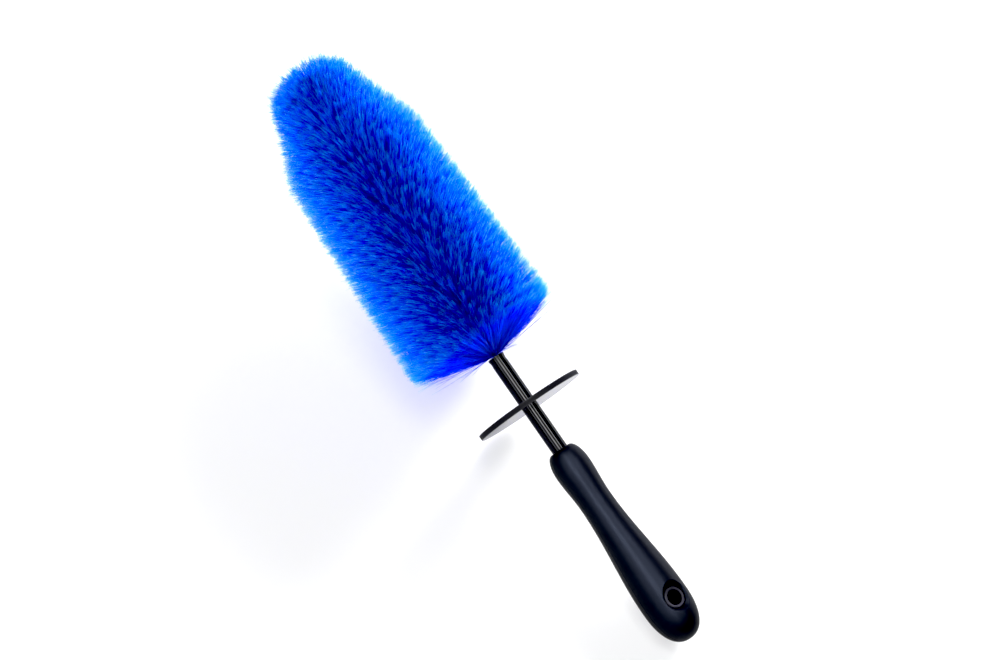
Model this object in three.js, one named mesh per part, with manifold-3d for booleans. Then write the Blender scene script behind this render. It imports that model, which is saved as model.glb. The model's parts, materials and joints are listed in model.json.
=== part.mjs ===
// A wheel brush: a twisted-in-wire brush head, a sleeved stem with a splash guard, and a moulded handle.
// Units are millimetres. The brush lies at rest on its handle's butt and on the underside of its bristles,
// with +X towards the bristle tip and +Z up. Inside the brush a "station" is a distance along its axis,
// measured from the butt of the handle.

import * as THREE from 'three';
import { mergeVertices } from 'three/addons/utils/BufferGeometryUtils.js';
import Module from 'manifold-3d';

const wasm = await Module();
wasm.setup();

const GAP = 0.3; // clearance between pieces that touch on the real brush
const HANDLE_SEGMENTS = 24;
const HOLE_SEGMENTS = 28;
const STEM_SEGMENTS = 24;
const GUARD_SEGMENTS = 48;
const CAP_SEGMENTS = 18;
const BRISTLE_SEGMENTS = 28;

// Resting pose
const TILT = THREE.MathUtils.degToRad(9); // the axis climbs towards the bristles

// Handle: a round section that is widest near the butt, waisted, and fuller again at the front
const HANDLE_LENGTH = 151;
const BUTT = { station: 30, radius: 17 };
const BUTT_FULLNESS = 2.3; // exponent of the superellipse that closes the butt
const WAIST = { station: 110, radius: 11.5 };
const COLLAR = { station: 136, radius: 12.95 };
const MOUTH_RADIUS = 6.8; // where the rounded front shoulder meets the flat front face
const GRIP_WALL = 2.6;
const CORE_START = 3.8; // the grip is thicker at the butt and at the front shoulder
const CORE_END = 144;

// Hanging hole across the handle
const HANG_STATION = 28.4;
const HANG_BORE_RADIUS = 5.2;
const EYELET_RADIUS = 7.6;
const EYELET_HALF_LENGTH = 13.2;
const EYELET_CHAMFER = 0.7;
const RECESS_RIM_RADIUS = 11.4; // at the crest of the grip
const RECESS_SLOPE = 0.85; // radius lost for each millimetre of depth
const BOSS_RADIUS = 11.8; // the grip's own material round the eyelet, which passes through the core

// Stem sleeve over the wires
const STEM_RADIUS = 5.7;
const STEM_BORE_RADIUS = 3.1;
const STEM_START = 128;
const STEM_END = 226.5;
const STEM_LIP = { length: 2.4, radius: 6.1, ramp: 0.8, round: 0.6 };

// Splash guard: a flat rubber disc that grips the sleeve
const GUARD_STATION = 187;
const GUARD_RADIUS = 39.2;
const GUARD_THICKNESS = 3.8;
const GUARD_RIM_ROUND = 0.6;

// Tip cap over the wires' cut ends
const CAP_START = 434;
const CAP_END = 446;
const CAP_RADIUS = 4.6;
const CAP_NOSE = [[442, CAP_RADIUS], [444.6, 3.6], [CAP_END, 1.6]]; // stations and radii of its round end

// Bristle head: turns of filament held between the wires, each leaning towards the tip
const TURN_COUNT = 18;
const FIRST_ROOT = 229;
const LAST_ROOT = 428;
const ROOT_RADIUS = 3.1;
const ROOT_THICKNESS = 3.4;
const EDGE_THICKNESS = 2;
const BASE_LEAD = 7; // how far the first turn's ends lie ahead of its root
const BODY_LEAD = 17;
const NOSE_LEAD = 22;
const BASE_FAN = 0.16; // share of the head over which the lead grows to its full value
const BRUSH_TIP = 457;
const TIP_START = 434.5; // where the last tuft leaves the cap
const TIP_DOME = [[451.6, 21], [454.2, 15.8], [456.2, 8.2]]; // station and radius over the last tuft
const ENVELOPE = [ // station and radius of the trimmed head
  [229, 37],
  [243, 54.5],
  [253, 55.8],
  [396, 49.5],
  [442, 31.6],
  [450, 24],
];

// Twisted pair of core wires. Each filament sticks out on both sides, so half a twist sweeps a whole turn.
const WIRE_RADIUS = 1.3;
const STRAND_RADIUS = WIRE_RADIUS + GAP / 2; // from the brush's axis to a wire's own axis
const TWIST_PITCH = (2 * (LAST_ROOT - FIRST_ROOT)) / (TURN_COUNT - 1);
const WIRE_START = 62;
const WIRE_END = 440;
const WIRE_END_ROOM = 1; // for the slanted ends of the twisted wires
const WIRE_SIDES = 6;
const WIRE_STEPS_PER_TURN = 8;

const CONTACT_STEPS = 300; // places tried for the handle's lowest point
const FLOOR_SLAB = { length: 700, width: 300, depth: 60 };

const materials = {
  softGrip: { color: 0x0d1016, roughness: 0.42, metalness: 0 },
  hardCore: { color: 0x15171c, roughness: 0.5, metalness: 0 },
  eyelet: { color: 0x2c2c36, roughness: 0.35, metalness: 0 },
  sleeve: { color: 0x050508, roughness: 0.12, metalness: 0 },
  steel: { color: 0xa9adb3, roughness: 0.35, metalness: 1 },
  guard: { color: 0x0c0d10, roughness: 0.3, metalness: 0 },
  cap: { color: 0x101116, roughness: 0.5, metalness: 0 },
  filament: { color: 0x0a3fe0, roughness: 0.55, metalness: 0 },
};

const brush = new THREE.Group();

function addPiece(name, geometry, material) {
  const mesh = new THREE.Mesh(geometry, new THREE.MeshStandardMaterial(materials[material]));
  mesh.name = name;
  brush.add(mesh);
  return mesh;
}

// A solid of revolution about the brush's axis, from [station, radius] points that close on themselves
// or start and end on the axis.
function revolve(profile, segments) {
  const points = profile.map(([station, radius]) => new THREE.Vector2(radius, station));
  const geometry = new THREE.LatheGeometry(points, segments);
  geometry.rotateZ(-Math.PI / 2);
  return geometry;
}

function toSolid(geometry) {
  const bare = geometry.clone();
  bare.deleteAttribute('normal');
  bare.deleteAttribute('uv');
  const merged = mergeVertices(bare, 1e-4);
  const mesh = new wasm.Mesh({
    numProp: 3,
    vertProperties: new Float32Array(merged.attributes.position.array),
    triVerts: new Uint32Array(merged.index.array),
  });
  return new wasm.Manifold(mesh);
}

function fromSolid(solid) {
  const mesh = solid.getMesh();
  const geometry = new THREE.BufferGeometry();
  geometry.setAttribute('position', new THREE.BufferAttribute(mesh.vertProperties, 3));
  geometry.setIndex(new THREE.BufferAttribute(mesh.triVerts, 1));
  geometry.computeVertexNormals();
  return geometry;
}

function samples(count, from, to) {
  return Array.from({ length: count + 1 }, (_, i) => from + ((to - from) * i) / count);
}

function easeBetween(a, b, station) {
  const t = (station - a.station) / (b.station - a.station);
  return a.radius + (b.radius - a.radius) * (0.5 - 0.5 * Math.cos(Math.PI * t));
}

// Outer radius of the handle at a station.
function handleRadius(station) {
  if (station <= BUTT.station) {
    const reach = (BUTT.station - station) / BUTT.station;
    return BUTT.radius * Math.max(0, 1 - reach ** BUTT_FULLNESS) ** (1 / BUTT_FULLNESS);
  }
  if (station <= WAIST.station) {
    return easeBetween(BUTT, WAIST, station);
  }
  if (station <= COLLAR.station) {
    return easeBetween(WAIST, COLLAR, station);
  }
  const reach = (station - COLLAR.station) / (HANDLE_LENGTH - COLLAR.station);
  return MOUTH_RADIUS + (COLLAR.radius - MOUTH_RADIUS) * Math.sqrt(Math.max(0, 1 - reach * reach));
}

const BUTT_STATIONS = [0, 0.6, 2, 4.5, 8.5, 14, 21];
const BODY_STATIONS = samples(8, BUTT.station, COLLAR.station);
const SHOULDER_STATIONS = [140.5, 144.3, 147.4, 149.6, 150.6, HANDLE_LENGTH];
const CORE_STATIONS = [4.1, 5, 7, 10.5, 15.5, 22, ...BODY_STATIONS, 140.5, CORE_END];

// Outer radius of the hard core at a station, one wall and one gap inside the grip.
function coreRadius(station) {
  const wall = GRIP_WALL + GAP;
  if (station >= BUTT.station) {
    return handleRadius(station) - wall;
  }
  const reach = (BUTT.station - station) / (BUTT.station - CORE_START);
  return (BUTT.radius - wall) * Math.max(0, 1 - reach ** BUTT_FULLNESS) ** (1 / BUTT_FULLNESS);
}

function gripSleeve() {
  const outside = [...BUTT_STATIONS, ...BODY_STATIONS, ...SHOULDER_STATIONS];
  const outline = outside.map((station) => [station, handleRadius(station)]);
  const mouthBore = STEM_RADIUS + GAP;
  const pocketStart = CORE_STATIONS[0] - GAP;
  const pocket = CORE_STATIONS.map((station) => [station, coreRadius(station) + GAP]);
  const profile = [
    ...outline,
    [HANDLE_LENGTH, mouthBore],
    [CORE_END + GAP, mouthBore],
    [CORE_END + GAP, coreRadius(CORE_END) + GAP],
    ...pocket.toReversed(),
    [pocketStart, coreRadius(CORE_STATIONS[0])],
    [pocketStart, 0],
  ];
  const skin = toSolid(revolve(profile, HANDLE_SEGMENTS));
  const whole = toSolid(revolve([...outline, [HANDLE_LENGTH, 0]], HANDLE_SEGMENTS));
  const boss = toSolid(hangCylinder(BOSS_RADIUS)).intersect(whole);
  const hole = toSolid(hangCylinder(EYELET_RADIUS + GAP));
  return fromSolid(skin.add(boss).subtract(toSolid(recessCutter())).subtract(hole));
}

// A cylinder along the hanging hole, long enough to cross the whole handle.
function hangCylinder(radius) {
  const geometry = new THREE.CylinderGeometry(radius, radius, 4 * BUTT.radius, HOLE_SEGMENTS);
  geometry.rotateX(Math.PI / 2);
  geometry.translate(HANG_STATION, 0, 0);
  return geometry;
}

// The two conical recesses at the hole's mouths, joined as one waisted cutter.
function recessCutter() {
  const reach = BUTT.radius + 3;
  const rim = RECESS_RIM_RADIUS + (reach - BUTT.radius) * RECESS_SLOPE;
  const floor = EYELET_RADIUS + GAP;
  const floorHeight = BUTT.radius - (RECESS_RIM_RADIUS - floor) / RECESS_SLOPE;
  const profile = [
    [0, -reach],
    [rim, -reach],
    [floor, -floorHeight],
    [floor, floorHeight],
    [rim, reach],
    [0, reach],
  ].map(([radius, height]) => new THREE.Vector2(radius, height));
  const geometry = new THREE.LatheGeometry(profile, HOLE_SEGMENTS);
  geometry.rotateX(Math.PI / 2);
  geometry.translate(HANG_STATION, 0, 0);
  return geometry;
}

function handleCore() {
  const profile = [
    [CORE_STATIONS[0], 0],
    ...CORE_STATIONS.map((station) => [station, coreRadius(station)]),
    [CORE_END, STEM_RADIUS + GAP],
    [STEM_START - GAP, STEM_RADIUS + GAP],
    [STEM_START - GAP, STEM_BORE_RADIUS],
    [WIRE_START - WIRE_END_ROOM, STEM_BORE_RADIUS],
    [WIRE_START - WIRE_END_ROOM, 0],
  ];
  const core = toSolid(revolve(profile, HANDLE_SEGMENTS));
  return fromSolid(core.subtract(toSolid(hangCylinder(BOSS_RADIUS + GAP))));
}

function hangEyelet() {
  const half = EYELET_HALF_LENGTH;
  const lip = half - EYELET_CHAMFER;
  const profile = [
    [HANG_BORE_RADIUS, -lip],
    [HANG_BORE_RADIUS + EYELET_CHAMFER, -half],
    [EYELET_RADIUS - EYELET_CHAMFER, -half],
    [EYELET_RADIUS, -lip],
    [EYELET_RADIUS, lip],
    [EYELET_RADIUS - EYELET_CHAMFER, half],
    [HANG_BORE_RADIUS + EYELET_CHAMFER, half],
    [HANG_BORE_RADIUS, lip],
    [HANG_BORE_RADIUS, -lip],
  ].map(([radius, height]) => new THREE.Vector2(radius, height));
  const geometry = new THREE.LatheGeometry(profile, HOLE_SEGMENTS);
  geometry.rotateX(Math.PI / 2);
  geometry.translate(HANG_STATION, 0, 0);
  return geometry;
}

function stemSleeve() {
  const lipStart = STEM_END - STEM_LIP.length;
  return revolve([
    [STEM_START, STEM_BORE_RADIUS],
    [STEM_START, STEM_RADIUS],
    [lipStart, STEM_RADIUS],
    [lipStart + STEM_LIP.ramp, STEM_LIP.radius],
    [STEM_END - STEM_LIP.round, STEM_LIP.radius],
    [STEM_END, STEM_LIP.radius - STEM_LIP.round],
    [STEM_END, STEM_BORE_RADIUS],
    [STEM_START, STEM_BORE_RADIUS],
  ], STEM_SEGMENTS);
}

// One strand of the twisted pair, a helix about the brush's axis.
class Strand extends THREE.Curve {
  constructor(phase) {
    super();
    this.phase = phase;
  }

  getPoint(t, target = new THREE.Vector3()) {
    const station = WIRE_START + (WIRE_END - WIRE_START) * t;
    const angle = this.phase + (2 * Math.PI * (station - WIRE_START)) / TWIST_PITCH;
    return target.set(station, STRAND_RADIUS * Math.cos(angle), STRAND_RADIUS * Math.sin(angle));
  }
}

function coreWire(phase) {
  const section = new THREE.Shape(samples(WIRE_SIDES - 1, 0, WIRE_SIDES - 1).map((side) => {
    const angle = (2 * Math.PI * side) / WIRE_SIDES;
    return new THREE.Vector2(WIRE_RADIUS * Math.cos(angle), WIRE_RADIUS * Math.sin(angle));
  }));
  const turns = (WIRE_END - WIRE_START) / TWIST_PITCH;
  return new THREE.ExtrudeGeometry(section, {
    steps: Math.round(turns * WIRE_STEPS_PER_TURN),
    extrudePath: new Strand(phase),
  });
}

function splashGuard() {
  const bore = STEM_RADIUS + GAP;
  const back = GUARD_STATION - GUARD_THICKNESS / 2;
  const front = GUARD_STATION + GUARD_THICKNESS / 2;
  return revolve([
    [back, bore],
    [back, GUARD_RADIUS - GUARD_RIM_ROUND],
    [back + GUARD_RIM_ROUND, GUARD_RADIUS],
    [front - GUARD_RIM_ROUND, GUARD_RADIUS],
    [front, GUARD_RADIUS - GUARD_RIM_ROUND],
    [front, bore],
    [back, bore],
  ], GUARD_SEGMENTS);
}

function tipCap() {
  const bore = STEM_BORE_RADIUS;
  return revolve([
    [CAP_START, bore],
    [CAP_START, CAP_RADIUS],
    ...CAP_NOSE,
    [CAP_END, 0],
    [WIRE_END + WIRE_END_ROOM, 0],
    [WIRE_END + WIRE_END_ROOM, bore],
    [CAP_START, bore],
  ], CAP_SEGMENTS);
}

function envelopeRadius(station) {
  const next = ENVELOPE.findIndex(([place]) => place >= station);
  const [placeA, radiusA] = ENVELOPE[next - 1];
  const [placeB, radiusB] = ENVELOPE[next];
  return radiusA + ((radiusB - radiusA) * (station - placeA)) / (placeB - placeA);
}

// Where one turn of filament starts and ends: a root at the wires and an edge on the head's envelope.
function turnPlace(index) {
  const share = index / (TURN_COUNT - 1);
  const fan = THREE.MathUtils.smoothstep(share, 0, BASE_FAN);
  const lead = BASE_LEAD + (BODY_LEAD - BASE_LEAD) * fan + (NOSE_LEAD - BODY_LEAD) * share;
  const root = FIRST_ROOT + (LAST_ROOT - FIRST_ROOT) * share;
  return { root, edge: root + lead, edgeRadius: envelopeRadius(root + lead) };
}

function bristleTurn(index) {
  const { root, edge, edgeRadius } = turnPlace(index);
  return revolve([
    [root - ROOT_THICKNESS / 2, ROOT_RADIUS],
    [edge - EDGE_THICKNESS / 2, edgeRadius],
    [edge + EDGE_THICKNESS / 2, edgeRadius],
    [root + ROOT_THICKNESS / 2, ROOT_RADIUS],
    [root - ROOT_THICKNESS / 2, ROOT_RADIUS],
  ], BRISTLE_SEGMENTS);
}

// The last tuft closes over the tip cap.
function bristleTip() {
  const pocket = CAP_RADIUS + GAP;
  return revolve([
    [TIP_START, pocket],
    ...TIP_DOME,
    [BRUSH_TIP, 0],
    [CAP_END + GAP, 0],
    [CAP_END + GAP, pocket],
    [TIP_START, pocket],
  ], BRISTLE_SEGMENTS);
}

// The floor in the brush's own frame, which meets the lowest point of the tilted handle.
function axisHeightAtButt() {
  const drops = samples(CONTACT_STEPS, 0, BUTT.station).map(
    (station) => handleRadius(station) * Math.cos(TILT) - station * Math.sin(TILT),
  );
  return Math.max(...drops);
}

function floorSlab(height) {
  const { length, width, depth } = FLOOR_SLAB;
  const geometry = new THREE.BoxGeometry(length, width, depth);
  geometry.translate(length / 3, 0, -height - depth / 2);
  geometry.rotateY(TILT);
  return geometry;
}

const buttHeight = axisHeightAtButt();
const floor = toSolid(floorSlab(buttHeight));

addPiece('grip_sleeve', gripSleeve(), 'softGrip');
addPiece('handle_core', handleCore(), 'hardCore');
addPiece('hang_hole_eyelet', hangEyelet(), 'eyelet');
addPiece('stem_sleeve', stemSleeve(), 'sleeve');
addPiece('core_wire_a', coreWire(0), 'steel');
addPiece('core_wire_b', coreWire(Math.PI), 'steel');
addPiece('splash_guard', splashGuard(), 'guard');
addPiece('tip_cap', tipCap(), 'cap');

for (let index = 0; index < TURN_COUNT; index += 1) {
  const name = `bristle_turn_${String(index + 1).padStart(2, '0')}`;
  const pressed = toSolid(bristleTurn(index)).subtract(floor);
  addPiece(name, fromSolid(pressed), 'filament');
}
addPiece('bristle_tip', bristleTip(), 'filament');

// Lay the brush on the floor and centre its box over the origin.
brush.rotation.y = -TILT;
brush.position.z = buttHeight;
brush.updateMatrixWorld(true);
const box = new THREE.Box3().setFromObject(brush, true);
brush.position.x = -(box.min.x + box.max.x) / 2;

export default brush;
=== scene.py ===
"""Looks of the wheel brush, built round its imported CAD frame.

Shapes are worked out in the brush's own space, in millimetres: x runs along the brush's axis from the butt
of the handle (a place along it is called a station), z points to the crest of the handle, square to the
axis, and y completes the frame. Brush.place() turns them into metres in the row's frame.
"""
import json
import math

import bmesh
import bpy
import numpy as np
from mathutils import Matrix, Vector


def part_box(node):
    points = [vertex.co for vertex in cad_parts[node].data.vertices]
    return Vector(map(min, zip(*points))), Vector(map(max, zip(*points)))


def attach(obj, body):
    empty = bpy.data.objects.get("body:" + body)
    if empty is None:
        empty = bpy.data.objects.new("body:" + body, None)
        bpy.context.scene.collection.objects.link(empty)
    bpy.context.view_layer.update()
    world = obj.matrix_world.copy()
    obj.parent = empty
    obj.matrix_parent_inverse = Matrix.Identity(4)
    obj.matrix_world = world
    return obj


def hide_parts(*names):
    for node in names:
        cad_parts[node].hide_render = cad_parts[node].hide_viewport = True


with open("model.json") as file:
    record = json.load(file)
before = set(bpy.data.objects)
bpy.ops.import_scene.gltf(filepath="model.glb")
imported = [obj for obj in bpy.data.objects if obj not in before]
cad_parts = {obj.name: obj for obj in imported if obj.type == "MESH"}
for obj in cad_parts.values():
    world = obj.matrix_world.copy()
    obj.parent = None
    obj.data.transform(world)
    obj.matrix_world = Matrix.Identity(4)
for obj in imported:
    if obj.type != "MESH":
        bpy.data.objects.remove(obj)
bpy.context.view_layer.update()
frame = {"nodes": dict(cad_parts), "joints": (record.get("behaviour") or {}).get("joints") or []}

SEED = 776
MM = 0.001

# Handle, in millimetres
HANDLE_LENGTH = 151.0
BUTT_STATION, BUTT_RADIUS, BUTT_FULLNESS = 30.0, 17.0, 2.3
WAIST_STATION, WAIST_RADIUS = 110.0, 11.5
COLLAR_STATION, COLLAR_RADIUS = 136.0, 12.95
MOUTH_RADIUS = 6.8
GRIP_WALL = 2.6
CORE_START, CORE_END = 3.8, 144.0
PARTING_RIDGE_HEIGHT, PARTING_RIDGE_WIDTH = 0.16, 0.22
PARTING_RIDGE_FADE = 12.0  # the stretch before the handle's front where the ridge dies out
POCKET_START = 4.0
POCKET_BUTT_STATIONS = (4.3, 5.0, 6.5, 9.0, 12.0, 16.0, 22.0)  # closer together where the butt turns round

# Hanging hole
HANG_STATION = 28.4
BORE_RADIUS = 5.2
EYELET_RADIUS = 7.6
EYELET_HALF_LENGTH = 13.2
RECESS_RIM_RADIUS, RECESS_SLOPE = 11.4, 0.85
RECESS_FLOOR = 12.6
RECESS_ROUNDING = 0.5
BOSS_RADIUS = 11.8
MOUTH_LEAST_HEIGHT = 5.0  # from the axis; lower down, the skin is the handle's side and not a mouth
HOLE_END = 42.0  # the station up to which the handle's rings are close together
HOLE_STEP, BODY_STEP = 0.4, 1.2

# Stem, guard and clearances
GAP = 0.3
STEM_RADIUS, STEM_BORE_RADIUS = 5.7, 3.1
STEM_START, STEM_END = 128.0, 226.5
NECK_START, NECK_LENGTH = STEM_END - 6, 5.0
NECK_DEPTH, NECK_FLARE = 0.22, 0.32
ROLL_RADIUS, ROLL_INSET = 0.55, 0.25
GUARD_STATION, GUARD_RADIUS, GUARD_THICKNESS = 187.0, 39.2, 3.8
GUARD_RIM_ROUND, GUARD_BORE_CHAMFER = 0.45, 0.3
GUARD_REACH = 34.8  # how far the guard slides from rest towards the bristles

# Bristle head
TURN_COUNT = 18
FIRST_ROOT, LAST_ROOT = 229.0, 428.0
TURN_SPACING = (LAST_ROOT - FIRST_ROOT) / (TURN_COUNT - 1)
WIRE_END = 440.0
ROOT_RADIUS = 2.4
ENVELOPE_STATIONS = (224.0, 229.0, 236.0, 243.0, 253.0, 396.0, 420.0, 442.0)
ENVELOPE_RADII = (28.0, 37.0, 47.0, 54.5, 55.8, 49.8, 40.0, 31.6)
NOSE_STATION, NOSE_RADIUS, BRUSH_TIP = 440.0, 32.4, 461.5
BUNDLES_PER_TURN, BUNDLES_IN_TIP = 500, 700
FILAMENTS_PER_BUNDLE = 6
LOOSE_SHARE, STRAY_SHARE = 0.2, 0.012
BUNDLE_SPREAD, LOOSE_SPREAD, STRAY_SPREAD = 1.0, 4.0, 4.0  # scatter of filament ends round a bundle's end
LEAST_REACH = 4.0  # how far from the axis any filament may end, before scatter
REACH_SCATTER, REACH_MARGIN = 0.8, 0.2
WISP_REACH, LOOSE_REACH_SHARE = 2.5, 0.7  # strays may end this much further out, and loose ones a share of it
BUNDLE_CLEARANCE, BUNDLE_CLEARANCE_SCATTER = 0.8, 2.0  # of the first roots from the sleeve's end
ROOT_CLEARANCE, ROOT_SCATTER, ROOT_TURN = 0.6, 0.8, 0.25
BASE_STRAYS = 20
STRAY_CLEARANCE = 0.9
STRAY_START = GUARD_STATION + GUARD_REACH + GUARD_THICKNESS / 2 + STRAY_CLEARANCE
STRAY_RADII = (14.0, 34.0)
STRAY_ROOT_STATION, STRAY_ROOT_RADIUS, STRAY_TURN = STEM_END + 1.0, 0.6 * STEM_RADIUS, 0.3
FILAMENT_STEPS = (0.0, 0.22, 0.45, 0.67, 0.86, 1.0)
FILAMENT_TAPER = (1.0, 1.0, 1.0, 0.94, 0.82, 0.48)
FILAMENT_SIDES = 3
FILAMENT_RADIUS = 0.115
COLOUR_COLUMNS = 64
COLUMN_EDGES = (0.15, 0.85)  # of a column's width, so that a filament stays inside its own column
CAP_SLANT = 0.004
TUFT_SIZE, TUFTS_AROUND, TUFT_STAGGER = 8.0, 42, 0.37
TUFT_PULL, TUFT_RELIEF = 0.26, 1.1
# The middle of each tuft, as shares of its cell
TUFT_JITTER = np.random.default_rng(SEED + 1).uniform(0.2, 0.8, (64, TUFTS_AROUND, 2))
GOLDEN_ANGLE = math.pi * (3 - math.sqrt(5))  # spreads the bundles evenly round the wires
BASE_SHARE = 0.16  # the part of the wires, from the base on, over which the sweep grows fastest
# How far bundles end ahead of their roots: at the base, gained past the base, and gained towards the tip
BASE_LEAD, LEAD_GROWTH, LEAD_TO_TIP = 6.0, 10.0, 6.0
LEAD_TO_SIDE = 3.0  # taken from the lead on the +Y side and added to it on the -Y side
FIRST_TURN_LEAD = (6.0, 15.0)  # more lead for the first turn, which is rooted just past the sleeve
ANGLE_SCATTER, END_SCATTER = 0.06, 1.6
RADIUS_SCATTER, RADIUS_SCATTER_TO_TIP = 0.6, 0.8
TIP_SCATTER, TIP_SCATTER_LIMITS = 2.6, (-7.0, 3.8)
FILAMENT_BOW = 0.10  # how far a curve's middle control point is held back, as a share of its lead
FILAMENT_WAVE, LEAST_WAVE = 0.02, 0.2  # random shift of that point: a share of the length, and millimetres
FLOOR_CLEARANCE, FLOOR_PILE = 0.3, 0.9  # least height of a pressed filament, and how much more it may have
# How far pressed filaments move along X, and outwards along Y, as shares of how far they are lifted
SPLAY_ALONG, SPLAY_ACROSS = 0.5, 0.8


class Brush:
    """The brush's own space in the row's frame."""

    def __init__(self):
        self.axis = Vector(frame["joints"][0]["axis"]).normalized()
        self.side = Vector((0, 1, 0))
        self.crest = self.axis.cross(self.side)
        low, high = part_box("hang_hole_eyelet")
        self.butt = (low + high) / 2 - HANG_STATION * MM * self.axis
        self.turn = np.array([self.axis, self.side, self.crest])

    def place(self, points):
        """Points in millimetres in the brush's space, as metres in the row's frame."""
        return np.asarray(points, float) @ self.turn * MM + np.array(self.butt)

    def at(self, station):
        return self.butt + station * MM * self.axis


brush = Brush()


# ---------------------------------------------------------------- meshes

def make_object(name, verts, faces, smooth_angle=40.0):
    mesh = bpy.data.meshes.new(name)
    mesh.from_pydata([tuple(v) for v in verts], [], [tuple(int(i) for i in f) for f in faces])
    mesh.validate()
    mesh.update()
    obj = bpy.data.objects.new(name, mesh)
    bpy.context.scene.collection.objects.link(obj)
    if smooth_angle:
        mesh.shade_smooth()
        mesh.set_sharp_from_angle(angle=math.radians(smooth_angle))
    return obj


def ring_faces(rings, segments, closed):
    """Quads between neighbouring rings of points, and where closed, between the last ring and the first."""
    faces = []
    for i in range(rings if closed else rings - 1):
        a, b = i * segments, (i + 1) % rings * segments
        for j in range(segments):
            k = (j + 1) % segments
            faces.append((a + j, a + k, b + k, b + j))
    return faces


def pole_faces(rings, segments):
    """Triangles from the first and the last ring to their poles, which are the two points after the rings."""
    first, last = rings * segments, rings * segments + 1
    top = (rings - 1) * segments
    faces = []
    for j in range(segments):
        k = (j + 1) % segments
        faces.append((first, k, j))
        faces.append((last, top + j, top + k))
    return faces


def lathe_arrays(profile, segments, axis="x"):
    """Vertices and faces of a solid of revolution. The profile holds (place along the axis, radius) points,
    and it closes on itself, or starts and ends on the axis."""
    profile = np.asarray(profile, float)
    ends_on_axis = profile[0, 1] == 0 and profile[-1, 1] == 0
    ring_points = profile[1:-1] if ends_on_axis else profile[:-1]
    angles = np.arange(segments) * 2 * math.pi / segments
    along = np.repeat(ring_points[:, 0], segments)
    radius = np.repeat(ring_points[:, 1], segments)
    turn = np.tile(angles, len(ring_points))
    across, up = radius * np.cos(turn), radius * np.sin(turn)
    columns = (along, across, up) if axis == "x" else (across, up, along)
    verts = np.column_stack(columns)
    faces = ring_faces(len(ring_points), segments, closed=not ends_on_axis)
    if ends_on_axis:
        poles = [(profile[0, 0], 0, 0), (profile[-1, 0], 0, 0)]
        if axis != "x":
            poles = [(0, 0, profile[0, 0]), (0, 0, profile[-1, 0])]
        verts = np.vstack([verts, poles])
        faces += pole_faces(len(ring_points), segments)
    return verts, faces


def face_outwards(obj):
    """Turns every face of a closed mesh to point out."""
    work = bmesh.new()
    work.from_mesh(obj.data)
    bmesh.ops.recalc_face_normals(work, faces=work.faces)
    work.to_mesh(obj.data)
    work.free()


def lathe(name, profile, segments, smooth_angle=40.0):
    verts, faces = lathe_arrays(profile, segments)
    obj = make_object(name, brush.place(verts), faces, smooth_angle)
    face_outwards(obj)
    return obj


def cut(obj, cutters):
    """Takes closed cutters out of a closed mesh and removes the cutters."""
    for cutter in cutters:
        step = obj.modifiers.new("cut", "BOOLEAN")
        step.operation = "DIFFERENCE"
        step.solver = "MANIFOLD"
        step.object = cutter
    bpy.context.view_layer.update()
    done = bpy.data.meshes.new_from_object(obj.evaluated_get(bpy.context.evaluated_depsgraph_get()))
    obj.modifiers.clear()
    obj.data = done
    for cutter in cutters:
        bpy.data.objects.remove(cutter)


def arc(centre, radius, start, end, count):
    """Points of an arc in the (station, radius) plane, from one angle in degrees to another."""
    angles = np.radians(np.linspace(start, end, count))
    return [(centre[0] + radius * math.cos(a), centre[1] + radius * math.sin(a)) for a in angles]


# ---------------------------------------------------------------- materials

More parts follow.
